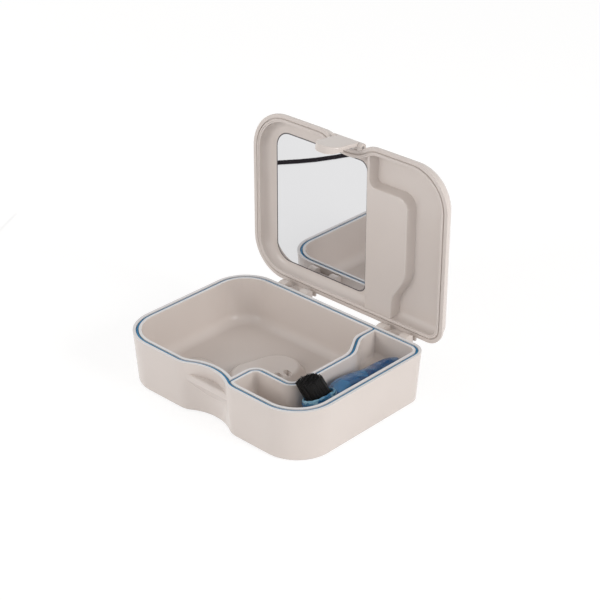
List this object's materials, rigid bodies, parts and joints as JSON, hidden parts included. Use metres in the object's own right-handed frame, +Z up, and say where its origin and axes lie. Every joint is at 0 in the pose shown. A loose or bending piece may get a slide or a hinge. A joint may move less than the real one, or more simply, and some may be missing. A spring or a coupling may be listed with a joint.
{
  "type": "denture case",
  "caption": "Open rigid denture case: divided tray with a rim seal, vertical hinged lid with inset mirror and latch, and a cleaning brush in the side well.",
  "frame": {"origin": "centre of the tray's underside", "axes": "+X right along the latch side, +Y back towards the hinges, +Z up"},
  "size_m": [0.1134, 0.0968, 0.1059],
  "materials": {
    "case_plastic": "satin",
    "seal_rubber": "satin",
    "pin_steel": "satin",
    "mirror_sheet": "polished",
    "tape": "matte",
    "brush_clear": "gloss",
    "bristle": "satin"
  },
  "bodies": {
    "tray": {"base_tray": "case_plastic", "rim_seal": "seal_rubber", "hinge_pin_left": "pin_steel", "hinge_pin_right": "pin_steel", "brush_handle": "brush_clear", "brush_bristles": "bristle"},
    "lid": {"lid_shell": "case_plastic", "lid_panel": "case_plastic", "mirror": "mirror_sheet", "mirror_tape": "tape", "latch_pin": "pin_steel"},
    "latch": {"front_latch": "case_plastic"}
  },
  "joints": [
    {"name": "lid_hinge", "type": "hinge", "parent": "tray", "child": "lid", "pos_m": [0, 0.0433, 0.0199], "axis": [1, 0, 0], "range_deg": [0, 90]},
    {"name": "latch_hinge", "type": "hinge", "parent": "lid", "child": "latch", "pos_m": [0.0005, 0.0489, 0.102], "axis": [-1, 0, 0], "range_deg": [-7, 70]}
  ]
}
